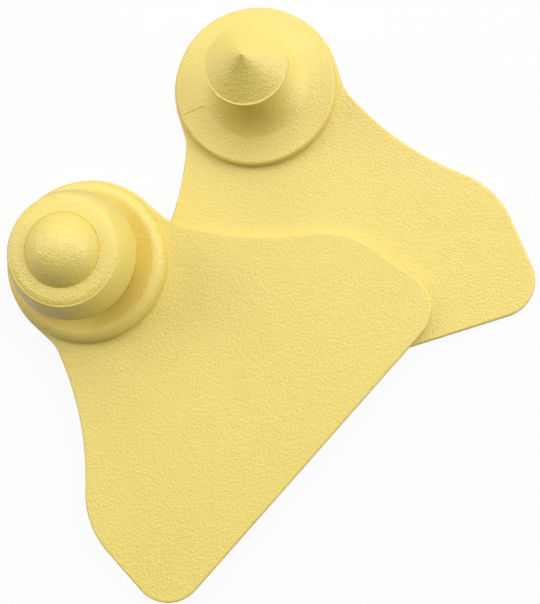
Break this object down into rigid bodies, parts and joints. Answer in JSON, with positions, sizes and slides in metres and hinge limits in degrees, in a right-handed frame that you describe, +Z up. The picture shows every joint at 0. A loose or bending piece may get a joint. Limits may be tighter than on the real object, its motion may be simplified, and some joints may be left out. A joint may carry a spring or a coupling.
{
  "type": "livestock ear tag",
  "caption": "Two-piece ear tag for cattle, unfastened: a flagged stud half with a pointed tip and a flagged socket half with a closed locking cap, lying partly over it.",
  "frame": {"origin": "on the stud's axis, at the back of the stud half, where the applicator's pin enters; this is also the surface the tag lies on", "axes": "+Z up along the stud and the locking cap, out of the flags' front faces; the stud half's flag points along -Y"},
  "size_m": [0.0736, 0.0806, 0.0185],
  "materials": {
    "tag_plastic": "pale yellow soft moulded plastic with a fine grain",
    "hard_plastic": "pale yellow hard moulded plastic, a little smoother than the flags"
  },
  "bodies": {
    "root": {"male_tag": "tag_plastic", "stud_tip": "hard_plastic", "female_tag": "tag_plastic", "locking_cap": "hard_plastic"}
  },
  "joints": []
}
